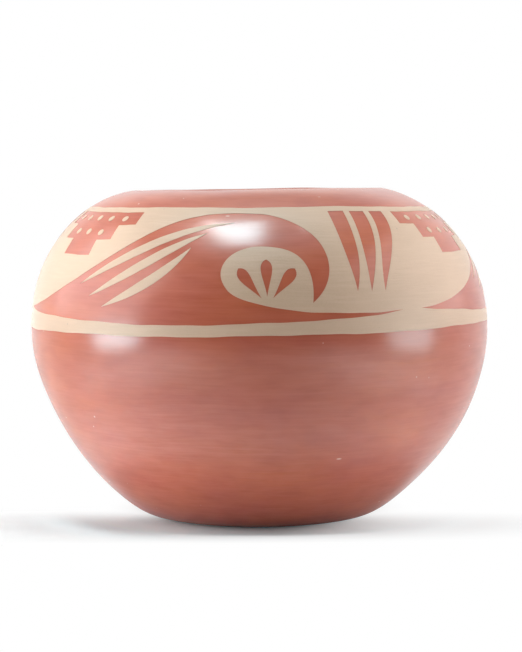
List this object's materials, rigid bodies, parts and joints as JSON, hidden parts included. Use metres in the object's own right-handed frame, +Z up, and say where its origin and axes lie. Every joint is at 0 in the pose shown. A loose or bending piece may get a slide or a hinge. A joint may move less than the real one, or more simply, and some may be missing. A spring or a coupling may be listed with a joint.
{
  "type": "pottery jar",
  "caption": "Round-bellied, wide-mouthed hand-built redware jar with a polished red slip and a matte buff slip band of wave, cloud and feather figures round the shoulder",
  "frame": {"origin": "centre of the flat foot, on the surface that the jar stands on", "axes": "+Z up along the axis of the jar; -Y towards the pictured front"},
  "size_m": [0.2014, 0.2014, 0.141],
  "materials": {
    "clay": "scraped matte fired clay",
    "red_slip": "stone-burnished, glossy",
    "buff_slip": "matte, fine grained"
  },
  "bodies": {
    "root": {"base_dish": "clay", "wall_coil_1": "clay", "wall_coil_2": "clay", "wall_coil_3": "clay", "wall_coil_4": "clay", "wall_coil_5": "clay", "wall_coil_6": "clay", "wall_coil_7": "clay", "rim_coil": "clay", "red_slip_coat": "red_slip", "buff_slip_band": "buff_slip", "panel_1_blade_1": "buff_slip", "panel_1_blade_2": "buff_slip", "panel_1_blade_3": "buff_slip", "panel_2_blade_1": "buff_slip", "panel_2_blade_2": "buff_slip", "panel_2_blade_3": "buff_slip", "panel_3_blade_1": "buff_slip", "panel_3_blade_2": "buff_slip", "panel_3_blade_3": "buff_slip"}
  },
  "joints": []
}
